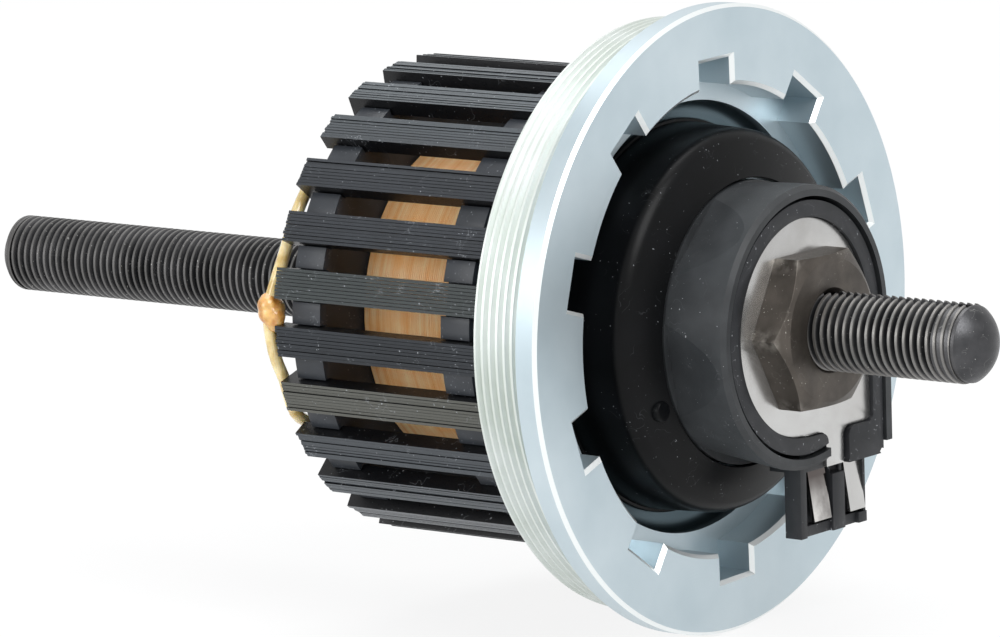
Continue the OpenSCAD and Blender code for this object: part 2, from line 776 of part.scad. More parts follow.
// The two slots of the plug block, the right one open at its side, with the crossbars set back under them
module plug_slots() {
    back = block_at + block_l - block_back_t;
    box([live_slot_x, block_at - over, -slot_floor_z], [live_slot_x + live_slot_w, back, -housing_corner_z]);
    box([earth_slot_x, block_at - over, -slot_floor_z], [block_right_x + over, back, -housing_corner_z]);
    for (bar = [[live_slot_x, live_slot_x + live_slot_w], [earth_slot_x, block_right_x - right_post_w]])
        box([bar[0], block_at - over, -block_z - over],
            [bar[1], block_at + crossbar_set_back, -slot_floor_z + over / 2]);
}

// What the wrench flats take from the sleeve, up to the dust cover
module wrench_flats() {
    for (i = [0 : flat_count - 1])
        at_angle(flat_angle + i * 360 / flat_count) intersection() {
            translate([flat_low, cover_set, 0]) rotate([0, 0, flat_draft])
                box([0, -2 * sleeve_r, -sleeve_r], [sleeve_r, over, sleeve_r]);
            box([0, sleeve_at - over, -sleeve_r], [2 * sleeve_r, cover_set, sleeve_r]);
        }
}

// Plastic sleeve over the housing, with wrench flats and a straight side beside the corner
module connector_sleeve() {
    color([0.25, 0.26, 0.28]) difference() {
        union() {
            difference() {
                revolve() polygon([
                    [0, sleeve_at],
                    [sleeve_r - sleeve_edge, sleeve_at],
                    [sleeve_r, sleeve_at + sleeve_edge],
                    [sleeve_r, sleeve_to],
                    [0, sleeve_to]
                ]);
                wrench_flats();
            }
            slab(sleeve_at, corner_to)
                translate([0, -sleeve_side_z]) square([sleeve_r, sleeve_side_z - sleeve_side_top]);
        }
        slab(sleeve_at - over, corner_to + strip_gap) {
            circle(sleeve_bore);
            translate([tab_slot_x, -housing_corner_z - over])
                square([sleeve_side_x - tab_slot_x, housing_corner_z + over]);
        }
        tube(sleeve_bore, 0, sleeve_at - over, sleeve_to + over);
        box([block_x - earth_gap, block_at - earth_gap, -sleeve_r - over],
            [tab_slot_x + over, corner_to + strip_gap, -earth_corner_z]);
    }
}

module insulating_washer() {
    color([0.78, 0.72, 0.55]) tube(insulator_r, bore_r, insulator_at, cone_at);
}

// Lead from the coil through the axle's slot to the live terminal
module live_lead() {
    path = through([for (p = live_route) around([lead_angle, p[0], p[1]])], 2);
    color([0.55, 0.12, 0.1]) swept(path, live_lead_r, 8);
}

// Threaded cone that the balls run on
module bearing_cone() {
    color([0.6, 0.6, 0.62]) revolve() difference() {
        polygon([
            [bore_r, cone_at],
            [cone_shoulder_r, cone_at],
            [cone_shoulder_r, ball_at],
            [cone_stem_r, ball_at],
            [cone_stem_r, right_nut_at],
            [bore_r, right_nut_at]
        ]);
        translate([ball_pitch_r, ball_at]) circle(race_r);
    }
}

// Cup pressed into the cover ring
module bearing_cup() {
    color([0.6, 0.6, 0.62]) revolve() difference() {
        polygon([
            [cup_inner_r, cup_at],
            [cup_r, cup_at],
            [cup_r, cup_at + cup_l],
            [cup_shoulder_r, cup_at + cup_l],
            [cup_shoulder_r, ball_at],
            [cup_inner_r, ball_at]
        ]);
        translate([ball_pitch_r, ball_at]) circle(race_r);
    }
}

module bearing_balls() {
    color([0.85, 0.85, 0.87]) for (i = [0 : ball_count - 1])
        at_angle(i * 360 / ball_count) translate([ball_pitch_r, ball_at, 0]) sphere(ball_r);
}

// Ring with a round pocket for each ball
module ball_cage() {
    color([0.5, 0.45, 0.3]) difference() {
        tube(ball_pitch_r + cage_t / 2, ball_pitch_r - cage_t / 2, ball_at - cage_w / 2, ball_at + cage_w / 2);
        for (i = [0 : ball_count - 1])
            at_angle(i * 360 / ball_count) translate([ball_pitch_r, ball_at, 0]) rotate([0, 90, 0])
                cylinder(h = 2 * cage_t + 2 * over, r = ball_r + pocket_gap, center = true);
    }
}

module bearing_seal() {
    color([0.1, 0.1, 0.1]) tube(cup_r, cone_shoulder_r + seal_gap, seal_at, cup_at);
}

// Ring that screws into the hub shell and carries the bearing cup
module cover_ring() {
    color([0.72, 0.8, 0.84]) difference() {
        revolve() polygon(concat(
            [
                [cup_seat, boss_at],
                [boss_r - boss_chamfer, boss_at],
                [boss_r, boss_at + boss_chamfer],
                [boss_r, floor_at],
                [ledge_r, floor_at],
                [ledge_r, ledge_at],
                [recess_r, ledge_at],
                [recess_r, ring_set],
                [flange_r - flange_chamfer, ring_set],
                [flange_r, ring_set + flange_chamfer],
                [flange_r, flange_to],
                [ring_thread_r - relief_depth, flange_to],
                [ring_thread_r - relief_depth, ring_thread_at],
                [ring_thread_r, ring_thread_at]
            ],
            grooves(ring_thread_r, ring_groove_depth, ring_groove_w, ring_pitch, ring_thread_at, ring_to),
            [
                [ring_thread_r, ring_to],
                [lip_r, ring_to],
                [lip_r, cup_at + cup_l],
                [cup_seat, cup_at + cup_l]
            ]
        ));
        for (i = [0 : notch_count - 1])
            at_angle(notch_angle + i * 360 / notch_count) intersection() {
                box([0, ring_set - over, -notch_w / 2], [notch_r + over, ledge_at, notch_w / 2]);
                tube(notch_r, boss_r + over, ring_set - over, ledge_at);
            }
    }
    color([0.72, 0.8, 0.84]) revolve() difference() {
        translate([ledge_r - floor_fillet, floor_at - floor_fillet]) square(floor_fillet);
        translate([ledge_r - floor_fillet, floor_at - floor_fillet]) circle(floor_fillet);
    }
}

// Black cover pressed over the boss, with its opening round the sleeve
module dust_cover() {
    inner = boss_r + cover_fit;
    knob_face = cover_set + (knob_at - cover_bore) * cover_slope / (cover_top_r - cover_round - cover_bore);
    color([0.09, 0.09, 0.1]) {
        revolve() difference() {
            union() {
                polygon([
                    [cover_bore, cover_set],
                    [cover_top_r - cover_round, shoulder_at],
                    [cover_top_r, shoulder_at + cover_round],
                    [cover_r, floor_at],
                    [cover_bore, floor_at]
                ]);
                translate([cover_top_r - cover_round, shoulder_at + cover_round]) circle(cover_round);
            }
            polygon([
                [cover_bore - over, cover_set + cover_wall],
                [cover_bore, cover_set + cover_wall],
                [inner - boss_chamfer, boss_at - cover_fit],
                [inner, boss_at + boss_chamfer],
                [inner, floor_at + over],
                [cover_bore - over, floor_at + over]
            ]);
        }
        at_angle(knob_angle) translate([knob_at, knob_face - knob_h, 0]) rotate([-90, 0, 0])
            cylinder(h = knob_h + cover_wall / 2, r = knob_r);
    }
}

module right_stator_nut() {
    color([0.35, 0.35, 0.36]) hex_nut(stator_nut_af, right_nut_at, right_washer_at, false);
}

module left_stator_nut() {
    color([0.35, 0.35, 0.36]) hex_nut(stator_nut_af, left_nut_at, left_thread_at, true);
}

// Washer with a slot that lets the live lead into the axle
module right_stator_washer() {
    color([0.5, 0.5, 0.52]) difference() {
        tube(washer_r, bore_r, right_washer_at, stator_at);
        at_angle(lead_angle) box([0, right_washer_at - over, -washer_slot_w / 2],
            [washer_r + over, stator_at + over, washer_slot_w / 2]);
    }
}

module left_stator_washer() {
    color([0.5, 0.5, 0.52]) tube(washer_r, bore_r, left_washer_at, left_nut_at);
}

// Steel tube on the axle that the packs bear on
module core_yoke() {
    color([0.3, 0.3, 0.32]) tube(yoke_r, bore_r, stator_at, left_washer_at);
}

// Flanged spool with a groove in each flange for every pole
module bobbin() {
    color([0.13, 0.13, 0.14]) difference() {
        union() {
            tube(spool_r, bobbin_bore_r, bobbin_at, bobbin_at + bobbin_l);
            tube(flange_outer_r, bobbin_bore_r, bobbin_at, coil_at);
            tube(flange_outer_r, bobbin_bore_r, coil_at + coil_l, bobbin_at + bobbin_l);
        }
        for (i = [0 : pole_count - 1])
            at_angle(first_pole_angle + i * pole_step)
                box([flange_groove_r, bobbin_at - over, -pack_w / 2 - pole_gap],
                    [flange_outer_r + over, bobbin_at + bobbin_l + over, pack_w / 2 + pole_gap]);
        at_angle(lead_angle) translate([live_lead_out, bobbin_at - over, 0]) rotate([-90, 0, 0])
            cylinder(h = bobbin_flange_t + 2 * over, r = live_lead_r + lead_hole_gap);
        at_angle(earth_hole_angle) translate([earth_lead_out, coil_at + coil_l - over, 0]) rotate([-90, 0, 0])
            cylinder(h = bobbin_flange_t + 2 * over, r = earth_lead_r + lead_hole_gap);
    }
}

module coil() {
    color([0.85, 0.62, 0.4]) tube(coil_r, spool_r + coil_gap, coil_at + coil_gap, coil_at + coil_l - coil_gap);
}

// The coil's outermost turns, wound as one wire with a straight end on each side
module coil_outer_turns() {
    per_turn = 24;
    chord = cos(180 / per_turn);
    turn_r = (coil_r + turn_gap + wire_d / 2) / chord;
    from = coil_at + 2 * coil_gap + wire_d / 2;
    to = coil_at + coil_l - 2 * coil_gap - wire_d / 2;
    step = (to - from) / turn_count;
    winding = [
        for (i = [0 : turn_count * per_turn])
            around([earth_hole_angle + i * 360 / per_turn, turn_r, from + i * step / per_turn])
    ];
    start = winding[0] - wire_d * unit(winding[1] - winding[0]);
    finish = winding[len(winding) - 1] + wire_d * unit(winding[len(winding) - 1] - winding[len(winding) - 2]);
    least_gap = min([
        for (i = [0 : len(winding) - 1], k = [-2 : 2])
            if (i + per_turn + k < len(winding)) norm(winding[i + per_turn + k] - winding[i]) - wire_d
    ]);
    echo(least_gap_between_turns = least_gap);
    color([0.85, 0.62, 0.4]) swept(concat([start], winding, [finish]), wire_d / 2, 6);
}

// One pole pack: outer limb with its sheet joints, side limb and inner limb
module pole_pack() {
    side_from = stator_l - side_limb_t;
    slab(stator_at, left_washer_at) polygon(concat(
        [[claw_inner_r, -pack_w / 2]],
        [for (i = [0 : sheet_count - 1]) let (low = -pack_w / 2 + i * sheet_t) each [
            [stator_r - sheet_joint, low],
            [stator_r, low + sheet_t * 0.25],
            [stator_r, low + sheet_t * 0.75]
        ]],
        [[stator_r - sheet_joint, pack_w / 2], [claw_inner_r, pack_w / 2]]
    ));
    box([pack_inner_r, stator_at + side_from, -pack_w / 2], [claw_inner_r, left_washer_at, pack_w / 2]);
    box([pack_inner_r, stator_mid, -pack_w / 2], [pack_inner_r + inner_limb_t, left_washer_at, pack_w / 2]);
}

// A pack that goes round the coil from the left, in its place
module left_pole(i) {
    color([0.16, 0.17, 0.2]) at_angle(first_pole_angle + 2 * (i - 1) * pole_step) pole_pack();
}

// A pack that goes round the coil from the right
module right_pole(i) {
    color([0.18, 0.18, 0.2]) at_angle(first_pole_angle + (2 * i - 1) * pole_step)
        translate([0, 2 * stator_mid, 0]) mirror([0, 1, 0]) pole_pack();
}

// Earth lead in its sleeving, from the coil over the poles' ends to the left washer
module earth_lead() {
    color([0.8, 0.7, 0.45]) swept(through([for (p = earth_route) around(p)], 3), earth_lead_r, 8);
}

// Drop of glue that holds the earth lead on the poles' ends
module glue_drop() {
    at = around([glue_angle, glue_at_r, left_washer_at + glue_r + earth_lead_rest]);
    color([0.75, 0.55, 0.25]) difference() {
        translate(at) sphere(glue_r);
        earth_lead_room();
    }
}

// Room that the lead takes inside the drop of glue
module earth_lead_room() {
    around_glue = [for (p = earth_route) if (abs(p[0] - glue_angle) < 14) around(p)];
    swept(through(around_glue, 3), earth_lead_r + glue_gap, 8);
}

axle();
lock_nut();
earth_terminal();
live_terminal();
connector_housing();
connector_sleeve();
insulating_washer();
live_lead();
bearing_cone();
bearing_cup();
bearing_balls();
ball_cage();
bearing_seal();
cover_ring();
dust_cover();
right_stator_nut();
right_stator_washer();
bobbin();
coil();
coil_outer_turns();
core_yoke();
left_stator_washer();
left_stator_nut();
earth_lead();
glue_drop();
for (i = [1 : pole_count / 2]) {
    left_pole(i);
    right_pole(i);
}
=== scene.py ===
"""Looks of the inner assembly of a hub dynamo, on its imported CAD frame."""

import math
import random

import bmesh
import bpy
from mathutils import Matrix, Vector


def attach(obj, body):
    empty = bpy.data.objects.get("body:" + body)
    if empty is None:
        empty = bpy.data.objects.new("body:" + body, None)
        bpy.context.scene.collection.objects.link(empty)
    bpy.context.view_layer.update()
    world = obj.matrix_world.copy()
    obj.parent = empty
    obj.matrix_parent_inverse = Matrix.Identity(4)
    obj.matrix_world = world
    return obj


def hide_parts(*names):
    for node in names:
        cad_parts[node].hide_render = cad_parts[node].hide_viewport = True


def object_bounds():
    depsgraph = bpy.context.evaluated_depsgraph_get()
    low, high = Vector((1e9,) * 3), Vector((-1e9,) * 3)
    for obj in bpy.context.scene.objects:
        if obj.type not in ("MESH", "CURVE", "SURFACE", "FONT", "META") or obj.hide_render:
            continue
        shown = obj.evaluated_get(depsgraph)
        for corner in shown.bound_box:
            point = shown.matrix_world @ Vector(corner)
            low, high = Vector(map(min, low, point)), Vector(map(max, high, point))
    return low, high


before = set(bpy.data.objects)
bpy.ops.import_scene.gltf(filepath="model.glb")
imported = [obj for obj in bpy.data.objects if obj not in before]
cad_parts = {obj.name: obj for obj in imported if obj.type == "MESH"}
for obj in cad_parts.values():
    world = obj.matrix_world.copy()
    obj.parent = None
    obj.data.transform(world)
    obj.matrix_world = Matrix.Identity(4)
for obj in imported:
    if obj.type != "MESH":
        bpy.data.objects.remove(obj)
cad_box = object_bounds()
mm = 0.001

# Camera: it stands to the left of the connector end, a little above the axle, as
# the photograph was taken, from far off with a long lens.
scene = bpy.context.scene
scene.view_settings.view_transform = "Standard"
camera = bpy.data.objects.new("camera", bpy.data.cameras.new("camera"))
camera.data.sensor_width = 36
camera.data.lens = 259.8
camera_place = Vector((-645.8, -455.6, 136.7)) * mm
camera_right = Vector((0.6096, -0.7922, -0.0303))
camera_up = Vector((0.1511, 0.0786, 0.9854))
camera_back = camera_right.cross(camera_up).normalized()
camera_axes = (camera_right.normalized(), camera_back.cross(camera_right).normalized(), camera_back)
camera.matrix_world = Matrix.Translation(camera_place) @ Matrix(camera_axes).transposed().to_4x4()
scene.collection.objects.link(camera)
scene.camera = camera


def add_node(tree, kind, inputs=None, **settings):
    """Adds a shader node with its settings, its values and the links into it."""
    node = tree.nodes.new("ShaderNode" + kind)
    for name, value in settings.items():
        setattr(node, name, value)
    for socket, value in (inputs or {}).items():
        if isinstance(value, bpy.types.NodeSocket):
            tree.links.new(value, node.inputs[socket])
        else:
            node.inputs[socket].default_value = value
    return node


def colour(code):
    """Linear colour of an sRGB hex code."""
    parts = [int(code[i:i + 2], 16) / 255 for i in (1, 3, 5)]
    return [p / 12.92 if p <= 0.04045 else ((p + 0.055) / 1.055) ** 2.4 for p in parts] + [1]


# Studio: a pale floor under the ring, white surroundings for the camera and for
# reflections, and three large soft lamps that leave a faint shadow.
world = bpy.data.worlds.new("studio")
scene.world = world
world.use_nodes = True
world.node_tree.nodes.clear()
tree = world.node_tree
light_path = add_node(tree, "LightPath")
seen = add_node(tree, "Math", {0: light_path.outputs["Is Camera Ray"],
                               1: light_path.outputs["Is Transmission Ray"]}, operation="MAXIMUM")
room_light = add_node(tree, "Background", {"Color": colour("#F4F7FA"), "Strength": 0.55})
mirrored_room = add_node(tree, "Background", {"Color": colour("#FFFFFF"), "Strength": 0.8})
white_room = add_node(tree, "Background", {"Color": colour("#FFFFFF"), "Strength": 1.0})
lit_or_mirrored = add_node(tree, "MixShader", {
    0: light_path.outputs["Is Glossy Ray"], 1: room_light.outputs[0], 2: mirrored_room.outputs[0]})
room = add_node(tree, "MixShader", {
    0: seen.outputs[0], 1: lit_or_mirrored.outputs[0], 2: white_room.outputs[0]})
add_node(tree, "OutputWorld", {"Surface": room.outputs[0]})

floor_half_width = 4
floor_gap = 0.2
floor_mesh = bmesh.new()
bmesh.ops.create_grid(floor_mesh, x_segments=1, y_segments=1, size=floor_half_width)
bmesh.ops.translate(floor_mesh, verts=floor_mesh.verts, vec=(0, 0, cad_box[0][2] - floor_gap * mm))
floor = bpy.data.objects.new("floor", bpy.data.meshes.new("floor"))
floor_mesh.to_mesh(floor.data)
floor_mesh.free()
floor_paint = bpy.data.materials.new("white_floor")
floor_paint.use_nodes = True
tree = floor_paint.node_tree
tree.nodes.clear()
light_path = add_node(tree, "LightPath")
seen = add_node(tree, "Math", {0: light_path.outputs["Is Camera Ray"],
                               1: light_path.outputs["Is Glossy Ray"]}, operation="MAXIMUM")
seen = add_node(tree, "Math", {0: seen.outputs[0], 1: light_path.outputs["Is Transmission Ray"]},
                operation="MAXIMUM")
shaded = add_node(tree, "BsdfDiffuse", {"Color": colour("#F2F2F2")})
bright = add_node(tree, "Emission", {"Color": colour("#FFFFFF"), "Strength": 1.0})
white_share = 0.86
lift = add_node(tree, "Math", {0: seen.outputs[0], 1: white_share}, operation="MULTIPLY")
paint = add_node(tree, "MixShader", {0: lift.outputs[0], 1: shaded.outputs[0], 2: bright.outputs[0]})
add_node(tree, "OutputMaterial", {"Surface": paint.outputs[0]})
floor.data.materials.append(floor_paint)
scene.collection.objects.link(floor)

lit_point = Vector((0, 0.03, 0))
for name, place, size, watts in (
    ("key_lamp", (-0.35, -0.75, 0.95), 0.9, 10),
    ("left_lamp", (-1.1, 0.35, 0.35), 0.8, 6),
    ("top_lamp", (0.25, 0.25, 1.2), 1.0, 8),
):
    lamp = bpy.data.objects.new(name, bpy.data.lights.new(name, "AREA"))
    lamp.data.shape = "DISK"
    lamp.data.size = size
    lamp.data.energy = watts
    lamp.location = place
    aim = lit_point - Vector(place)
    lamp.rotation_euler = aim.to_track_quat("-Z", "Y").to_euler()
    scene.collection.objects.link(lamp)

# Axle: a rolled steel rod with a right-hand thread of 1 mm pitch at both ends. The
# thread is phosphated almost black, with its crests rubbed paler, and the lead's
# slot is milled along the connector end. It is one bar, clamped by all its nuts.
axle_r, axle_root_r, axle_core_r = 4.5, 3.92, 4.2
thread_pitch, axle_crest_w, axle_steps = 1.0, 0.3, 64
axle_right_thread, axle_left_thread = (-18.6, 0.6), (63.2, 118.7)
axle_core = (0.2, 63.6)
axle_tips = ((-21.3, 1, 4.3, -16.0), (120.7, -1, 4.5, 117.7))
tip_rounding, tip_steps = 5.2, 12
slot_angle, slot_w, slot_depth = -86.5, 2.4, 3
thread_slot_y, thread_slot_l, core_slot_y, core_slot_l = -7.4, 23.0, 5.0, 47.6


def wind_on(mesh, advance, turns):
    """Repeats one turn of a winding along the axle until there are at least so many."""
    count = 1
    while count < turns:
        copied = bmesh.ops.duplicate(mesh, geom=mesh.verts[:] + mesh.edges[:] + mesh.faces[:])
        moved = [v for v in copied["geom"] if isinstance(v, bmesh.types.BMVert)]
        bmesh.ops.translate(mesh, verts=moved, vec=(0, advance * count * mm, 0))
        count *= 2
    bmesh.ops.remove_doubles(mesh, verts=mesh.verts, dist=0.01 * mm)


def thread(mesh, crest_r, root_r, pitch, start, end, crest_w, steps):
    """Winds a thread profile round the axle's axis and trims it between two places."""
    root_w = crest_w / 2
    flank = (pitch - crest_w - root_w) / 2
    first = start - pitch
    profile = [(root_r, 0), (root_r, root_w / 2), (crest_r, root_w / 2 + flank),
               (crest_r, root_w / 2 + flank + crest_w), (root_r, pitch - root_w / 2),
               (root_r, pitch)]
    points = [mesh.verts.new((r * mm, (first + y) * mm, 0)) for r, y in profile]
    edges = [mesh.edges.new(pair) for pair in zip(points, points[1:])]
    bmesh.ops.spin(mesh, geom=points + edges, cent=(0, 0, 0), axis=(0, 1, 0), angle=math.tau,
                   steps=steps, dvec=(0, pitch / steps * mm, 0), use_merge=False)
    wind_on(mesh, pitch, math.ceil((end - start) / pitch) + 2)
    for place, outward in ((start, -1), (end, 1)):
        bmesh.ops.bisect_plane(mesh, geom=mesh.verts[:] + mesh.edges[:] + mesh.faces[:],
                               plane_co=(0, place * mm, 0), plane_no=(0, outward, 0), clear_outer=True)
        rim = [e for e in mesh.edges if e.is_boundary
               and all(abs(v.co.y - place * mm) < 0.001 * mm for v in e.verts)]
        bmesh.ops.edgeloop_fill(mesh, edges=rim)
    bmesh.ops.recalc_face_normals(mesh, faces=mesh.faces)


def lathe(mesh, profile, steps, closed=True):
    """Turns an outline of radius and place along the axle into a closed solid of revolution."""
    points = [mesh.verts.new((r * mm, y * mm, 0)) for r, y in profile]
    pairs = list(zip(points, points[1:])) + ([(points[-1], points[0])] if closed else [])
    edges = [mesh.edges.new(pair) for pair in pairs]
    bmesh.ops.spin(mesh, geom=points + edges, cent=(0, 0, 0), axis=(0, 1, 0), angle=math.tau,
                   steps=steps, use_merge=True)
    bmesh.ops.remove_doubles(mesh, verts=mesh.verts, dist=0.0005 * mm)
    bmesh.ops.recalc_face_normals(mesh, faces=mesh.faces)


def make_piece(name, mesh, finish, nodes, body, sharp=35):
    """Puts a finished mesh into the scene in place of its CAD nodes, riding on their body."""
    for edge in mesh.edges:
        edge.smooth = len(edge.link_faces) == 2 and edge.calc_face_angle() < math.radians(sharp)
    for face in mesh.faces:
        face.smooth = True
    piece = bpy.data.objects.new(name, bpy.data.meshes.new(name))
    mesh.to_mesh(piece.data)
    mesh.free()
    piece.data.materials.append(finish)
    scene.collection.objects.link(piece)
    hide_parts(*nodes)
    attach(piece, body)
    return piece


def cut_away(piece, cutter):
    """Takes the cutter's mesh out of the piece, and removes the cutter."""
    cutting = bpy.data.objects.new("cutter", bpy.data.meshes.new("cutter"))
    cutter.to_mesh(cutting.data)
    cutter.free()
    scene.collection.objects.link(cutting)
    cut = piece.modifiers.new("cut", "BOOLEAN")
    cut.operation, cut.solver, cut.object = "DIFFERENCE", "EXACT", cutting
    bpy.context.view_layer.update()
    result = bpy.data.meshes.new_from_object(piece.evaluated_get(bpy.context.evaluated_depsgraph_get()))
    piece.modifiers.remove(cut)
    piece.data, old = result, piece.data
    bpy.data.meshes.remove(old)
    bpy.data.objects.remove(cutting)


def add_block(mesh, middle, size, angle=0.0):
    """Adds a block of the given middle and size, turned by degrees round the axle's axis."""
    placing = Matrix.Rotation(math.radians(angle), 4, "Y") @ Matrix.Translation(Vector(middle) * mm)
    stretch = Matrix.Diagonal(Vector([side * mm for side in size] + [1]))
    return bmesh.ops.create_cube(mesh, size=1, matrix=placing @ stretch)["verts"]


def make_finish(name, tone, dark, patch, grain, rough, spread, depth, metallic=0.0):
    """A surface with drifting colour, roughened and dented by a grain, both sized in mm."""
    material = bpy.data.materials.new(name)
    material.use_nodes = True
    tree = material.node_tree
    shader = tree.nodes["Principled BSDF"]
    shader.inputs["Metallic"].default_value = metallic
    place = add_node(tree, "TexCoord").outputs["Object"]
    patches = add_node(tree, "TexNoise", {"Vector": place, "Scale": 1 / (patch * mm), "Detail": 5.0})
    fine = add_node(tree, "TexNoise", {"Vector": place, "Scale": 1 / (grain * mm), "Detail": 3.0})
    share = add_node(tree, "MapRange", {"Value": patches.outputs["Fac"], 1: 0.35, 2: 0.65})
    tint = add_node(tree, "Mix", {0: share.outputs[0], 6: colour(dark), 7: colour(tone)},
                    data_type="RGBA")
    sheen = add_node(tree, "MapRange", {"Value": fine.outputs["Fac"], 1: 0.3, 2: 0.7,
                                        3: rough - spread, 4: rough + spread})
    dents = add_node(tree, "Bump", {"Height": fine.outputs["Fac"], "Distance": depth * mm, "Strength": 1.0})
    tree.links.new(tint.outputs[2], shader.inputs["Base Color"])
    tree.links.new(sheen.outputs[0], shader.inputs["Roughness"])
    tree.links.new(dents.outputs[0], shader.inputs["Normal"])
    return material, tree, shader, place, tint, dents


def add_dust(tree, shader, place, tint, size, share, tone, lint=0.0):
    """Adds pale specks of dust, of the given size in millimetres, and fine fibres of lint."""
    strew_size, fibre_size = 3, 2.5
    specks = add_node(tree, "TexNoise", {"Vector": place, "Scale": 1 / (size * mm), "Detail": 0.0})
    where = add_node(tree, "TexNoise", {"Vector": place, "Scale": 1 / (strew_size * mm), "Detail": 2.0})
    part = add_node(tree, "Math", {0: where.outputs["Fac"], 1: 0.25}, operation="MULTIPLY")
    both = add_node(tree, "Math", {0: specks.outputs["Fac"], 1: part.outputs[0]}, operation="ADD")
    dust = add_node(tree, "MapRange", {"Value": both.outputs[0], 1: share, 2: share + 0.04, 4: 0.8})
    fibres = add_node(tree, "TexNoise", {"Vector": place, "Scale": 1 / (fibre_size * mm), "Detail": 2.0})
    off = add_node(tree, "Math", {0: fibres.outputs["Fac"], 1: 0.5}, operation="SUBTRACT")
    off = add_node(tree, "Math", {0: off.outputs[0]}, operation="ABSOLUTE")
    line = add_node(tree, "MapRange", {"Value": off.outputs[0], 1: 0.0, 2: 0.006, 3: lint, 4: 0.0})
    strewn = add_node(tree, "MapRange", {"Value": where.outputs["Fac"], 1: 0.56, 2: 0.62})
    lint_line = add_node(tree, "Math", {0: line.outputs[0], 1: strewn.outputs[0]}, operation="MULTIPLY")
    pale = add_node(tree, "Math", {0: dust.outputs[0], 1: lint_line.outputs[0]}, operation="MAXIMUM")
    dusted = add_node(tree, "Mix", {0: pale.outputs[0], 6: tint.outputs[2], 7: colour(tone)},
                      data_type="RGBA")
    tree.links.new(dusted.outputs[2], shader.inputs["Base Color"])


def find_radius(tree, place):
    """Gives the distance of each point from the axle's axis and its parts X, Y and Z."""
    parts = add_node(tree, "SeparateXYZ", {0: place})
    squares = [add_node(tree, "Math", {0: parts.outputs[i], 1: parts.outputs[i]}, operation="MULTIPLY")
               for i in ("X", "Z")]
    added = add_node(tree, "Math", {0: squares[0].outputs[0], 1: squares[1].outputs[0]}, operation="ADD")
    root = add_node(tree, "Math", {0: added.outputs[0], 1: 0.5}, operation="POWER")
    return root.outputs[0], parts.outputs


# Phosphated steel: a matt grey-black crystal coat, painted paler on the crests as a
# highlight and as wear, most of all at the connector end.
axle_steel, tree, shader, place, tint, _ = make_finish(
    "phosphated_steel", "#58585A", "#343537", 5, 0.12, 0.38, 0.1, 0.012, 0.85)
radius, parts = find_radius(tree, place)
# Painted highlight and wear: the crests are tinted paler, more so at the connector end.
crest_depth = 0.22
crest = add_node(tree, "MapRange", {"Value": radius, 1: (axle_r - crest_depth) * mm, 2: axle_r * mm})
end_share = add_node(tree, "MapRange", {"Value": parts["Y"], 1: 0.0, 2: 60 * mm, 3: 0.6, 4: 0.25})
crest_highlight_and_wear = add_node(tree, "Math", {0: crest.outputs[0], 1: end_share.outputs[0]}, operation="MULTIPLY")
highlit_and_rubbed = add_node(tree, "Mix", {0: crest_highlight_and_wear.outputs[0], 6: tint.outputs[2], 7: colour("#9D9A96")},
                  data_type="RGBA")
# The pale specks are dust, and they also stand for glints on the crests, painted in.
add_dust(tree, shader, place, highlit_and_rubbed, 0.25, 0.93, "#B9B9B6", 0.3)

right_thread = bmesh.new()
thread(right_thread, axle_r, axle_root_r, thread_pitch, *axle_right_thread, axle_crest_w, axle_steps)
right_end = make_piece("axle_bar", right_thread, axle_steel, ["axle"], "root", 50)
slot_cut = bmesh.new()
add_block(slot_cut, (axle_r, thread_slot_y, 0), (slot_depth, thread_slot_l, slot_w), slot_angle)
cut_away(right_end, slot_cut)
left_thread = bmesh.new()
thread(left_thread, axle_r, axle_root_r, thread_pitch, *axle_left_thread, axle_crest_w, axle_steps)
make_piece("axle_left_thread", left_thread, axle_steel, ["axle"], "root", 50)
core_mesh = bmesh.new()
lathe(core_mesh, [(0, axle_core[0]), (axle_core_r, axle_core[0]), (axle_core_r, axle_core[1]),
                  (0, axle_core[1])], axle_steps, closed=False)
for end, inward, tip_r, foot in axle_tips:
    curve = [(0, end)]
    for i in range(1, tip_steps + 1):
        r = tip_r * math.sin(math.radians(90) * i / tip_steps)
        curve.append((r, end + inward * (tip_rounding - math.sqrt(tip_rounding ** 2 - r ** 2))))
    curve += [(tip_r, foot), (0, foot)]
    lathe(core_mesh, curve if inward == 1 else curve[::-1], axle_steps, closed=False)
core = make_piece("axle_core", core_mesh, axle_steel, ["axle"], "root", 50)
core_cut = bmesh.new()
add_block(core_cut, (axle_r, core_slot_y, 0), (slot_depth, core_slot_l, slot_w), slot_angle)
cut_away(core, core_cut)

# Nuts: hexagons of phosphated steel with a wide turned chamfer, screwed on the axle. The
# coat is a warm grey-brown with a dull sheen, and its corners are painted pale, as
# scuffs from the spanner and as highlights on the chamfer ridges. The lock nut clamps the
# bearing side, and the other two clamp the stator.
nut_steel, tree, shader, place, tint, _ = make_finish(
    "nut_steel", "#5A544E", "#45403B", 3.5, 0.15, 0.4, 0.08, 0.012, 0.7)
# Painted highlight and scuffs: the colour is paler towards the corners, in patches.
corner_start, corner_end, scuff_size = 9.0, 9.8, 1.1
radius, _ = find_radius(tree, place)
corner = add_node(tree, "MapRange", {"Value": radius, 1: corner_start * mm, 2: corner_end * mm})
scuffs = add_node(tree, "TexNoise", {"Vector": place, "Scale": 1 / (scuff_size * mm), "Detail": 3.0})
scuff = add_node(tree, "MapRange", {"Value": scuffs.outputs["Fac"], 1: 0.4, 2: 0.7, 3: 0.0, 4: 0.5})
corner_highlight_and_scuff = add_node(tree, "Math", {0: corner.outputs[0], 1: scuff.outputs[0]}, operation="MULTIPLY")
highlit_and_rubbed = add_node(tree, "Mix", {0: corner_highlight_and_scuff.outputs[0], 6: tint.outputs[2], 7: colour("#BDB7AE")},
                  data_type="RGBA")
add_dust(tree, shader, place, highlit_and_rubbed, 0.22, 0.95, "#C8C4BC", 0.15)


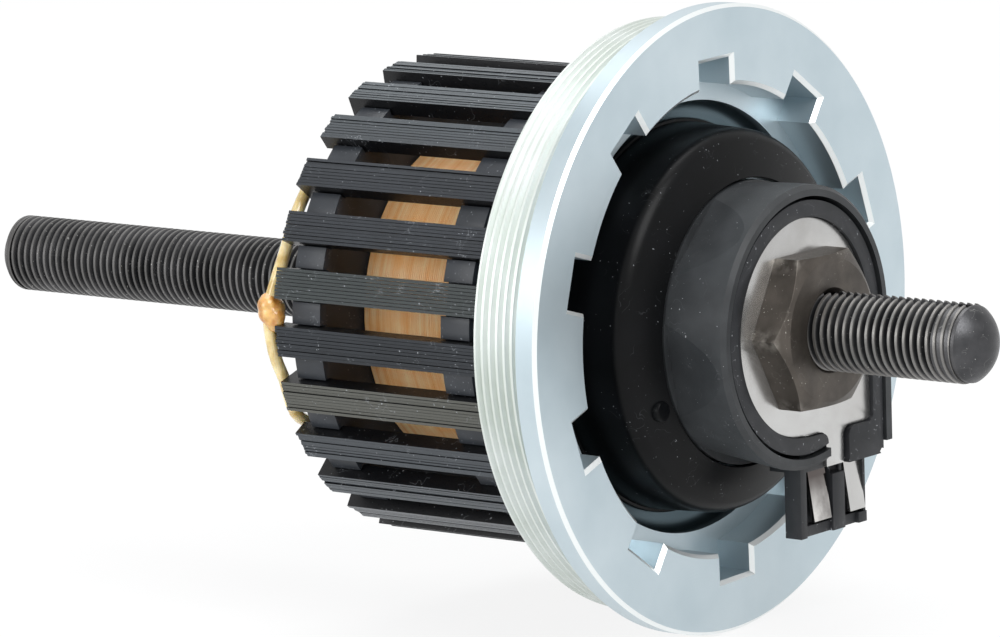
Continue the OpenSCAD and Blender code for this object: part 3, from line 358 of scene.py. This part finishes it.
def edged_copy(node, width, segments=2, angle=25):
    """Copies a CAD node's mesh, joins its loose triangles and rounds its edges."""
    mesh = bmesh.new()
    mesh.from_mesh(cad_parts[node].data)
    bmesh.ops.remove_doubles(mesh, verts=mesh.verts, dist=0.001 * mm)
    bmesh.ops.dissolve_limit(mesh, angle_limit=math.radians(0.5), verts=mesh.verts, edges=mesh.edges)
    edges = [e for e in mesh.edges
             if len(e.link_faces) == 2 and e.calc_face_angle() > math.radians(angle)]
    bmesh.ops.bevel(mesh, geom=edges, offset=width * mm, offset_type="OFFSET", segments=segments,
                    profile=0.5, affect="EDGES", material=-1, clamp_overlap=True)
    return mesh


for node in ("lock_nut", "right_stator_nut", "left_stator_nut"):
    make_piece(node + "_hexagon", edged_copy(node, 0.1, 2, 15), nut_steel, [node], "root", 14)

# Earth terminal: one stamping of nickel-plated brass strip. The lock nut clamps its
# plate, and its folded blade is the pale contact of the plug. It is matt from rolling.
strip_nickel = make_finish(
    "rolled_nickel", "#CDCDCC", "#C2C1BF", 6, 0.3, 0.24, 0.02, 0.0003, 0.95)[0]
make_piece("earth_terminal_stamping", edged_copy("earth_terminal", 0.07), strip_nickel,
           ["earth_terminal"], "root", 40)

# Live terminal: a second stamping of nickel-plated brass, pressed into the housing. Its
# blade is polished by the plug, and a painted reflection of the housing above darkens
# its colour towards the top.
bright_nickel, tree, shader, place, tint, _ = make_finish(
    "bright_nickel", "#D8D6D3", "#8B8886", 3.0, 0.1, 0.12, 0.04, 0.002, 1.0)
# Painted reflection: the colour darkens from shadow_foot up to shadow_top and above.
shadow_top, shadow_foot = -17.5, -21.5
height = add_node(tree, "SeparateXYZ", {0: place}).outputs["Z"]
painted_reflection_share = add_node(tree, "MapRange", {"Value": height, 1: shadow_top * mm, 2: shadow_foot * mm})
painted_darkening = add_node(tree, "Mix", {0: painted_reflection_share.outputs[0], 6: colour("#5F5957"), 7: tint.outputs[2]},
                  data_type="RGBA")
tree.links.new(painted_darkening.outputs[2], shader.inputs["Base Color"])
make_piece("live_terminal_stamping", edged_copy("live_terminal", 0.07), bright_nickel,
           ["live_terminal"], "root", 40)

# Housing: charcoal glass-filled nylon, moulded with the recess for the plate and the
# block that takes the plug, with a thin rib at its edge. It is matt, with pale specks of
# fibre and lint.
housing_nylon, tree, shader, place, tint, _ = make_finish(
    "glass_filled_nylon", "#2A2B2E", "#202225", 3, 0.1, 0.45, 0.08, 0.02)
shader.inputs["Specular IOR Level"].default_value = 0.35
add_dust(tree, shader, place, tint, 0.22, 0.955, "#B9BCC0", 0.2)
rib_middle, rib_size = (11.97, 5.57, -19.8), (0.44, 2.0, 6.6)
housing_mesh = edged_copy("connector_housing", 0.12)
add_block(housing_mesh, rib_middle, rib_size)
make_piece("housing_moulding", housing_mesh, housing_nylon,
           ["connector_housing"], "root", 40)

# Sleeve: a dark grey nylon tube pushed over the housing, with six drafted flats for a
# cone spanner. Its moulded skin is a little lighter and more matt than the housing.
sleeve_nylon, tree, shader, place, tint, _ = make_finish(
    "matt_nylon", "#36383A", "#2B2D2F", 4, 0.08, 0.48, 0.06, 0.012)
shader.inputs["Specular IOR Level"].default_value = 0.35
add_dust(tree, shader, place, tint, 0.22, 0.97, "#A8ABAE", 0.1)
make_piece("sleeve_moulding", edged_copy("connector_sleeve", 0.12, 2, 8), sleeve_nylon,
           ["connector_sleeve"], "root", 12)

# Insulating washer: punched from fibre board and clamped between the housing and the
# bearing cone. It is tan and dull.
fibre_board = make_finish("fibre_board", "#C3AE82", "#A48F66", 2, 0.3, 0.75, 0.05, 0.03)[0]


def finish_node(node, finish):
    """Gives a CAD node whose shape is right its own finish."""
    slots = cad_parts[node].material_slots
    for slot in slots:
        slot.material = finish
    if not slots:
        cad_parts[node].data.materials.append(finish)


finish_node("insulating_washer", fibre_board)

# Live lead: stranded wire in red PVC, laid from the coil through the axle's slot to the
# live terminal. It has a dark red, slightly waxy skin.
red_pvc = make_finish("red_pvc", "#8E2A22", "#6E1E19", 3, 0.3, 0.35, 0.05, 0.01)[0]
finish_node("live_lead", red_pvc)

# Bearing: a ground chrome steel cone on the axle and a cup in the ring, both silvery
# with a fine grain, ten mirror-bright balls in a brass-coloured cage of pressed sheet,
# and a dull black rubber seal in front.
ground_steel = make_finish("ground_steel", "#B4B4B6", "#9A9A9D", 6, 0.1, 0.22, 0.05, 0.004, 1.0)[0]
polished_steel = make_finish("polished_steel", "#D6D6D8", "#C6C6C9", 2, 0.2, 0.07, 0.02, 0.001, 1.0)[0]
cage_sheet = make_finish("cage_sheet", "#A08A55", "#86713F", 3, 0.15, 0.35, 0.06, 0.006, 0.9)[0]
seal_rubber = make_finish("seal_rubber", "#1C1C1E", "#141415", 3, 0.15, 0.6, 0.06, 0.01)[0]
for node, finish in (("bearing_cone", ground_steel), ("bearing_cup", ground_steel),
                     ("bearing_balls", polished_steel), ("ball_cage", cage_sheet),
                     ("bearing_seal", seal_rubber)):
    finish_node(node, finish)

# Cover ring: turned from light alloy, pale and bluish, and screwed into the hub shell. A
# fine tool leaves circles on its face, and its edges are broken by a chamfer, painted
# paler as a highlight.
ring_alloy, tree, shader, place, tint, dents = make_finish(
    "turned_alloy", "#C9D6DC", "#BBCAD1", 14, 0.12, 0.34, 0.05, 0.004, 0.75)
circle_pitch = 0.16
circles = add_node(tree, "TexWave", {"Vector": place, "Scale": 2 / (circle_pitch * mm * math.tau),
                                     "Distortion": 0.0, "Detail": 0.0},
                   wave_type="RINGS", rings_direction="Y", wave_profile="SIN")
turned = add_node(tree, "Bump", {"Height": circles.outputs["Fac"], "Distance": 0.004 * mm,
                                 "Strength": 1.0, "Normal": dents.outputs[0]})
tree.links.new(turned.outputs[0], shader.inputs["Normal"])

# The floor of the recess is painted darker as shade, and the chamfers at the front are
# painted paler as a highlight.
depth = add_node(tree, "SeparateXYZ", {0: place}).outputs["Y"]
deep = add_node(tree, "MapRange", {"Value": depth, 1: 19.5 * mm, 2: 20.5 * mm})
boss_back = add_node(tree, "MapRange", {"Value": depth, 1: 22.5 * mm, 2: 23.0 * mm, 3: 1.0, 4: 0.0})
# Painted shade: the recess floor is tinted dark blue-grey.
painted_recess_shade = add_node(tree, "Math", {0: deep.outputs[0], 1: boss_back.outputs[0]}, operation="MULTIPLY")
painted_darkening = add_node(tree, "Mix", {0: painted_recess_shade.outputs[0], 6: tint.outputs[2], 7: colour("#5E7078")},
                  data_type="RGBA")
# Painted highlight: front faces that slope like the chamfers are tinted near white.
facing = add_node(tree, "SeparateXYZ", {0: add_node(tree, "NewGeometry").outputs["True Normal"]})
chamfer_facing, chamfer_depth = -0.71, 15.9
slope = add_node(tree, "Math", {0: facing.outputs["Y"], 1: chamfer_facing}, operation="SUBTRACT")
slope = add_node(tree, "Math", {0: slope.outputs[0]}, operation="ABSOLUTE")
sloping = add_node(tree, "MapRange", {"Value": slope.outputs[0], 1: 0.12, 2: 0.2, 3: 1.0, 4: 0.0})
front = add_node(tree, "MapRange", {"Value": depth, 1: (chamfer_depth - 0.4) * mm,
                                    2: chamfer_depth * mm, 3: 1.0, 4: 0.0})
chamfer = add_node(tree, "Math", {0: sloping.outputs[0], 1: front.outputs[0]}, operation="MULTIPLY")
chamfer_highlight_tint = add_node(tree, "Mix", {0: chamfer.outputs[0], 6: painted_darkening.outputs[2], 7: colour("#F4F8F8")},
                 data_type="RGBA")
tree.links.new(chamfer_highlight_tint.outputs[2], shader.inputs["Base Color"])

ring_front, ring_back, flange_back, boss_front, floor_depth = 14.4, 24.7, 17.05, 13.2, 21.9
flange_r, body_r, recess_r, boss_r, ring_steps = 35.6, 33.0, 26.5, 20.7, 288
ring_body = bmesh.new()
lathe(ring_body, [
    (14.65, boss_front), (18.5, boss_front), (boss_r, 15.4), (boss_r, floor_depth), (23.1, floor_depth),
    (23.64, 21.79), (24.09, 21.49), (24.39, 21.04), (24.5, 20.5), (24.5, 19.25), (recess_r, 19.25),
    (recess_r, 14.85), (26.95, ring_front), (35.2, ring_front), (flange_r, 14.8),
    (flange_r, flange_back), (body_r, flange_back), (body_r, ring_back), (12.0, ring_back),
    (12.0, 22.6), (14.65, 22.6)], ring_steps)
ring = make_piece("cover_ring_turning", ring_body, ring_alloy, ["cover_ring"], "cover", 30)
notch_count, first_notch, notch_r = 10, -19.5, 27.0
notch_y, notch_depth, notch_reach, notch_w = 15.825, 6.85, 5.0, 5.9
mouth_y, mouth_depth, mouth_flare = 14.35, 1.0, 1.0
notches = bmesh.new()
for i in range(notch_count):
    angle = first_notch - 360 / notch_count * i
    add_block(notches, (notch_r, notch_y, 0), (notch_reach, notch_depth, notch_w), angle)
cut_away(ring, notches)
mouths = bmesh.new()
for i in range(notch_count):
    mouth = add_block(mouths, (notch_r, mouth_y, 0), (notch_reach, mouth_depth, notch_w))
    for v in mouth:
        if v.co.y < mouth_y * mm:
            v.co.z += math.copysign(mouth_flare * mm, v.co.z)
            v.co.x += mouth_flare * mm if v.co.x > notch_r * mm else 0
    turn = Matrix.Rotation(math.radians(first_notch - 360 / notch_count * i), 3, "Y")
    bmesh.ops.rotate(mouths, verts=mouth, cent=(0, 0, 0), matrix=turn)
cut_away(ring, mouths)
for face in ring.data.polygons:
    face.use_smooth = True
rounded = ring.modifiers.new("broken_edges", "BEVEL")
rounded.width, rounded.segments, rounded.angle_limit = 0.1 * mm, 2, math.radians(30)
rounded.harden_normals = True

# The ring's thread is a true helix on a thin shell round its body. It is paler, warmer
# and more matt than the turned faces.
thread_alloy = make_finish(
    "rolled_alloy_thread", "#DEE3E1", "#CDD4CE", 9, 0.12, 0.42, 0.05, 0.004, 0.6)[0]
thread_r, thread_root_r, ring_crest_w, thread_start, thread_end = 33.6, 33.15, 0.26, 18.2, 24.66
hollow_r = 31
ring_thread = bmesh.new()
thread(ring_thread, thread_r, thread_root_r, thread_pitch, thread_start, thread_end, ring_crest_w,
       ring_steps)
threaded = make_piece("cover_ring_thread", ring_thread, thread_alloy, ["cover_ring"], "cover",
                      50)
hollow = bmesh.new()
lathe(hollow, [(0, 17), (hollow_r, 17), (hollow_r, 26), (0, 26)], 96, closed=False)
cut_away(threaded, hollow)

# Dust cover: black rubber-like plastic pressed on the ring's boss, with a satin skin,
# a soft shoulder and one moulded knob.
cover_skin, tree, shader, place, tint, _ = make_finish(
    "satin_black_plastic", "#0B0C0E", "#08090A", 5, 0.1, 0.32, 0.04, 0.008)
shader.inputs["Specular IOR Level"].default_value = 0.13
add_dust(tree, shader, place, tint, 0.25, 0.97, "#8F9396", 0.1)
shoulder_r, shoulder_y, shoulder_rounding = 19.65, 14.6, 2
shoulder = [(shoulder_r + shoulder_rounding * math.sin(math.radians(a)),
             shoulder_y - shoulder_rounding * math.cos(math.radians(a))) for a in range(22, 91, 4)]
foot_lip = [(21.97, 21.35), (22.25, 21.4), (22.35, 21.6), (22.35, 21.9)]
cover_mesh = bmesh.new()
lathe(cover_mesh, [(16.25, 12.4), (16.25, 11.5), (16.35, 11.4), (18.0, 11.95)] + shoulder + foot_lip
      + [(20.78, 21.9), (20.78, 15.5), (18.5, 13.2)], 192)
knob_angle, knob_out, knob_base = math.radians(155), 17.9, 11.45
knob = bmesh.new()
lathe(knob, [(0, 0), (0.85, 0), (1.08, 0.06), (1.2, 0.25), (1.2, 1.0), (0, 1.0)], 32, closed=False)
knob_mesh = bpy.data.meshes.new("knob")
bmesh.ops.rotate(knob, verts=knob.verts, cent=(0, 0, 0), matrix=Matrix.Rotation(knob_angle, 3, "Y"))
bmesh.ops.translate(knob, verts=knob.verts, vec=Vector((
    knob_out * math.cos(knob_angle), knob_base, -knob_out * math.sin(knob_angle))) * mm)
knob.to_mesh(knob_mesh)
knob.free()
cover_mesh.from_mesh(knob_mesh)
bpy.data.meshes.remove(knob_mesh)
make_piece("dust_cover_moulding", cover_mesh, cover_skin, ["dust_cover"], "cover", 40)

# Washers and core: zinc-plated steel washers, light grey, between the nuts and the
# stator, and the dark tube of soft iron that the packs bear on.
washer_steel = make_finish("washer_steel", "#8C8D90", "#707174", 4, 0.12, 0.35, 0.06, 0.008, 0.9)[0]
soft_iron = make_finish("soft_iron", "#5A5B5F", "#45464A", 5, 0.12, 0.45, 0.06, 0.01, 0.85)[0]
for node, finish in (("right_stator_washer", washer_steel), ("left_stator_washer", washer_steel),
                     ("core_yoke", soft_iron)):
    finish_node(node, finish)

# Bobbin: moulded black nylon with a groove in each flange for every pole pack. It is
# matt and dusty, since the packs shelter it from wiping.
bobbin_nylon, tree, shader, place, tint, _ = make_finish(
    "black_nylon", "#2C3036", "#22262B", 4, 0.1, 0.45, 0.06, 0.012)
add_dust(tree, shader, place, tint, 0.25, 0.93, "#8D9196", 0.3)
make_piece("bobbin_moulding", edged_copy("bobbin", 0.08), bobbin_nylon, ["bobbin"], "root",
           40)

# Coil: enamelled copper wire wound on the bobbin and soaked in amber varnish. Its turns
# lie 0.26 mm apart, and they show as fine lines with darker streaks along them.
# Its colours are painted paler than the wire's own, standing for the light that reaches the coil between
# the packs.
varnished_wire, tree, shader, place, tint, _ = make_finish(
    "varnished_wire", "#FFDDA8", "#FDC482", 3, 0.4, 0.35, 0.08, 0.01)
streak_w, stretch_along_turns = 0.6, 0.002
wound = add_node(tree, "Mapping", {"Vector": place,
                                   "Scale": (stretch_along_turns, 1.0, stretch_along_turns)})
streaks = add_node(tree, "TexNoise", {"Vector": wound.outputs[0], "Scale": 1 / (streak_w * mm),
                                      "Detail": 3.0})
streak = add_node(tree, "MapRange", {"Value": streaks.outputs["Fac"], 1: 0.4, 2: 0.65, 3: 0.0, 4: 0.6})
soaked = add_node(tree, "Mix", {0: streak.outputs[0], 6: tint.outputs[2], 7: colour("#F2A24E")},
                  data_type="RGBA")
tree.links.new(soaked.outputs[2], shader.inputs["Base Color"])
finish_node("coil", varnished_wire)
coil_r, coil_start, coil_turns = 18.75, 34.75, 64
wire_r, wire_pitch, wire_sides, turn_steps = 0.13, 0.262, 6, 60
winding = bmesh.new()
corners = [winding.verts.new(((coil_r + wire_r * math.cos(a)) * mm,
                              (coil_start + wire_r * math.sin(a)) * mm, 0))
           for a in (math.tau * k / wire_sides for k in range(wire_sides))]
loop = [winding.edges.new((corners[k], corners[(k + 1) % wire_sides])) for k in range(wire_sides)]
bmesh.ops.spin(winding, geom=corners + loop, cent=(0, 0, 0), axis=(0, 1, 0), angle=math.tau,
               steps=turn_steps, dvec=(0, wire_pitch / turn_steps * mm, 0), use_merge=False)
wind_on(winding, wire_pitch, coil_turns)
open_ends = [e for e in winding.edges if e.is_boundary]
bmesh.ops.holes_fill(winding, edges=open_ends, sides=wire_sides)
bmesh.ops.recalc_face_normals(winding, faces=winding.faces)
make_piece("coil_winding", winding, varnished_wire, ["coil_outer_turns"], "root", 60)

# Pole packs: thirteen from each side, each of nine C-shaped sheets punched from steel,
# lacquered blue-black and laid on the bobbin. No two sheets lie quite level, so each
# shows as a ridge.
pole_lacquer, tree, shader, place, tint, _ = make_finish(
    "lacquered_sheet", "#373C43", "#23272C", 5, 0.15, 0.36, 0.1, 0.012, 0.3)

# The packs are painted paler grey at the top, as light from above, and also towards the
# foot, and a warmer grey on one pack at the side. The walls between the packs are
# painted almost black, as the shade in the gaps between them.
light_ramp_reach, light_ramp_share = 28, 0.8
# Painted light: the colour follows height, paler at the top and towards the foot.
height = add_node(tree, "SeparateXYZ", {0: place}).outputs["Z"]
level = add_node(tree, "MapRange", {"Value": height, 1: -light_ramp_reach * mm, 2: light_ramp_reach * mm})
painted_light_ramp = add_node(tree, "ValToRGB", {"Fac": level.outputs[0]})
tones = ((-28, "#686D72"), (-20, "#4E5459"), (-14, "#41464B"), (-11.5, "#41464B"), (-10, "#5A5A53"),
         (-6, "#5A5A53"), (-4.5, "#24282D"), (1.5, "#24282D"), (3.5, "#2B3130"), (7, "#2B3130"),
         (9, "#23272C"), (14, "#2B2E33"), (19, "#3A3D41"), (24, "#52585C"), (28, "#5F6569"))
painted_light_ramp.color_ramp.elements[0].position = 0.0
painted_light_ramp.color_ramp.elements[0].color = colour(tones[0][1])
painted_light_ramp.color_ramp.elements[1].position = 1.0
painted_light_ramp.color_ramp.elements[1].color = colour(tones[-1][1])
for z, code in tones[1:-1]:
    painted_light_ramp.color_ramp.elements.new((z + light_ramp_reach) / (2 * light_ramp_reach)).color = colour(code)
light_ramped_tint = add_node(tree, "Mix", {0: light_ramp_share, 6: tint.outputs[2], 7: painted_light_ramp.outputs["Color"]},
                     data_type="RGBA")
# Painted shade: faces that don't face outward, the walls in the gaps, are near black.
facing = add_node(tree, "NewGeometry").outputs["True Normal"]
outward = add_node(tree, "VectorMath", {0: facing, 1: place}, operation="DOT_PRODUCT")
outward = add_node(tree, "Math", {0: outward.outputs["Value"]}, operation="ABSOLUTE")
outward_share = add_node(tree, "MapRange", {"Value": outward.outputs[0], 1: 5 * mm, 2: 12 * mm})
painted_gap_shade = add_node(tree, "Mix", {0: outward_share.outputs[0], 6: colour("#101114"), 7: light_ramped_tint.outputs[2]},
                 data_type="RGBA")
add_dust(tree, shader, place, painted_gap_shade, 0.26, 0.94, "#A9ADB2", 0.5)

stator_r, claw_inner_r, limb_outer_r, limb_inner_r = 27.5, 25.5, 10.2, 7.45
stator_end, web_inner, stator_middle, claw_tip = 57.6, 55.85, 43.2, 28.8
sheet_count, sheet_pitch, sheet_t, first_sheet = 9, 0.4, 0.34, -1.77
packs_per_side, first_pack = 13, 86.5


def pole_sheets(angle, left, seed):
    """One pack of C-shaped sheets at its angle, opening to the right or the left."""
    shuffle = random.Random(seed)
    mesh = bmesh.new()
    for sheet in range(sheet_count):
        outer = stator_r + shuffle.uniform(-0.16, 0.03)
        tip = claw_tip - shuffle.uniform(-0.25, 0.0)
        outline = [(limb_inner_r, stator_end), (outer, stator_end), (outer, tip), (claw_inner_r, tip),
                   (claw_inner_r, web_inner), (limb_outer_r, web_inner),
                   (limb_outer_r, stator_middle), (limb_inner_r, stator_middle)]
        start = first_sheet + sheet_pitch * sheet
        verts = [mesh.verts.new((r * mm, (y if left else 2 * stator_middle - y) * mm, start * mm))
                 for r, y in outline]
        face = mesh.faces.new(verts)
        wall = bmesh.ops.extrude_face_region(mesh, geom=[face])
        moved = [v for v in wall["geom"] if isinstance(v, bmesh.types.BMVert)]
        bmesh.ops.translate(mesh, verts=moved, vec=(0, 0, sheet_t * mm))
    bmesh.ops.recalc_face_normals(mesh, faces=mesh.faces)
    turn = Matrix.Rotation(math.radians(-angle), 3, "Y")
    bmesh.ops.rotate(mesh, verts=mesh.verts, cent=(0, 0, 0), matrix=turn)
    return mesh


for i in range(packs_per_side):
    for side, left, offset in (("left", True, 0), ("right", False, 1)):
        node = f"{side}_pole_{i + 1:02d}"
        angle = first_pack + (2 * i + offset) * 180 / packs_per_side
        make_piece(node + "_sheets", pole_sheets(angle, left, 100 * offset + i), pole_lacquer,
                   [node], "root", 30)

# Earth lead: the coil's other end in yellowed glass sleeving, laid over the ends of the
# packs. The sleeving is glossy and lets some light through.
sleeving, _, shader, *_ = make_finish(
    "yellowed_sleeving", "#EBDAA8", "#C2A562", 2, 0.3, 0.13, 0.04, 0.01)
shader.inputs["Subsurface Weight"].default_value = 0.4
shader.inputs["Subsurface Radius"].default_value = (0.9 * mm, 0.6 * mm, 0.25 * mm)
shader.inputs["Coat Weight"].default_value = 0.9
lead = bmesh.new()
lead.from_mesh(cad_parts["earth_lead"].data)
bmesh.ops.remove_doubles(lead, verts=lead.verts, dist=0.001 * mm)
make_piece("earth_lead_sleeving", lead, sleeving, ["earth_lead"], "root", 60)

# Glue: a drop of amber glue, melted on by hand, that holds the lead on the packs. It is
# lumpy, glossy and half clear.
amber_glue, _, shader, *_ = make_finish(
    "amber_glue", "#E4BC76", "#B5762E", 1.4, 0.25, 0.16, 0.05, 0.04)
shader.inputs["Subsurface Weight"].default_value = 0.5
shader.inputs["Subsurface Radius"].default_value = (1.2 * mm, 0.7 * mm, 0.2 * mm)
shader.inputs["Coat Weight"].default_value = 0.6
glue_angle, glue_out, glue_y, glue_r = 177, 26.6, 58.6, 1.5
knot = bmesh.new()
knot_shuffle = random.Random(5)
for lump in range(-3, 4):
    turn = math.radians(glue_angle + lump * 0.9)
    out = glue_out + knot_shuffle.uniform(-0.35, 0.35)
    back = -0.35 * lump / 3 + knot_shuffle.uniform(-0.2, 0.2)
    lump_r = glue_r - 0.16 * abs(lump) + knot_shuffle.uniform(-0.1, 0.1)
    middle = Vector((out * math.cos(turn), glue_y + back, out * math.sin(turn))) * mm
    bmesh.ops.create_icosphere(knot, subdivisions=3, radius=lump_r * mm,
                               matrix=Matrix.Translation(middle))
knot_piece = make_piece("glue_knot", knot, amber_glue, ["glue_drop"], "root", 60)
melt = knot_piece.modifiers.new("melted", "REMESH")
melt.mode, melt.voxel_size, melt.use_smooth_shade = "VOXEL", 0.16 * mm, True
